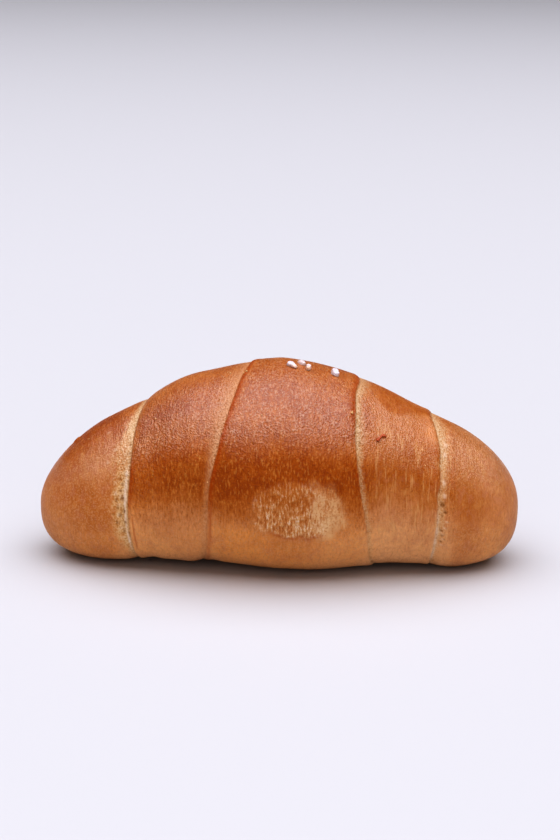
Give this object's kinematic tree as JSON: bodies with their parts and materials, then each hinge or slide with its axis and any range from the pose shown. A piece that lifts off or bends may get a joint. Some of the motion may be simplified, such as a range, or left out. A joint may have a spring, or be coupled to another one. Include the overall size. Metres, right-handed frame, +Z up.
{
  "type": "salt bread roll",
  "caption": "Baked roll wound from a triangle of dough, with banded crust, blunt nub ends, salt on its crest and a flat underside to rest on.",
  "frame": {"origin": "centre of the underside, at the level the roll rests on", "axes": "+X along the roll's length, +Z up, -Y towards the side the picture shows"},
  "size_m": [0.132, 0.0656, 0.0551],
  "materials": {
    "crust": "golden-brown baked crust, satin with a thin butter gloss, fine streaks around the roll and paler torn strips beside the sheet edges",
    "salt": "coarse white salt grains, slightly translucent"
  },
  "bodies": {
    "root": {"bread_roll": "crust"}
  },
  "joints": []
}
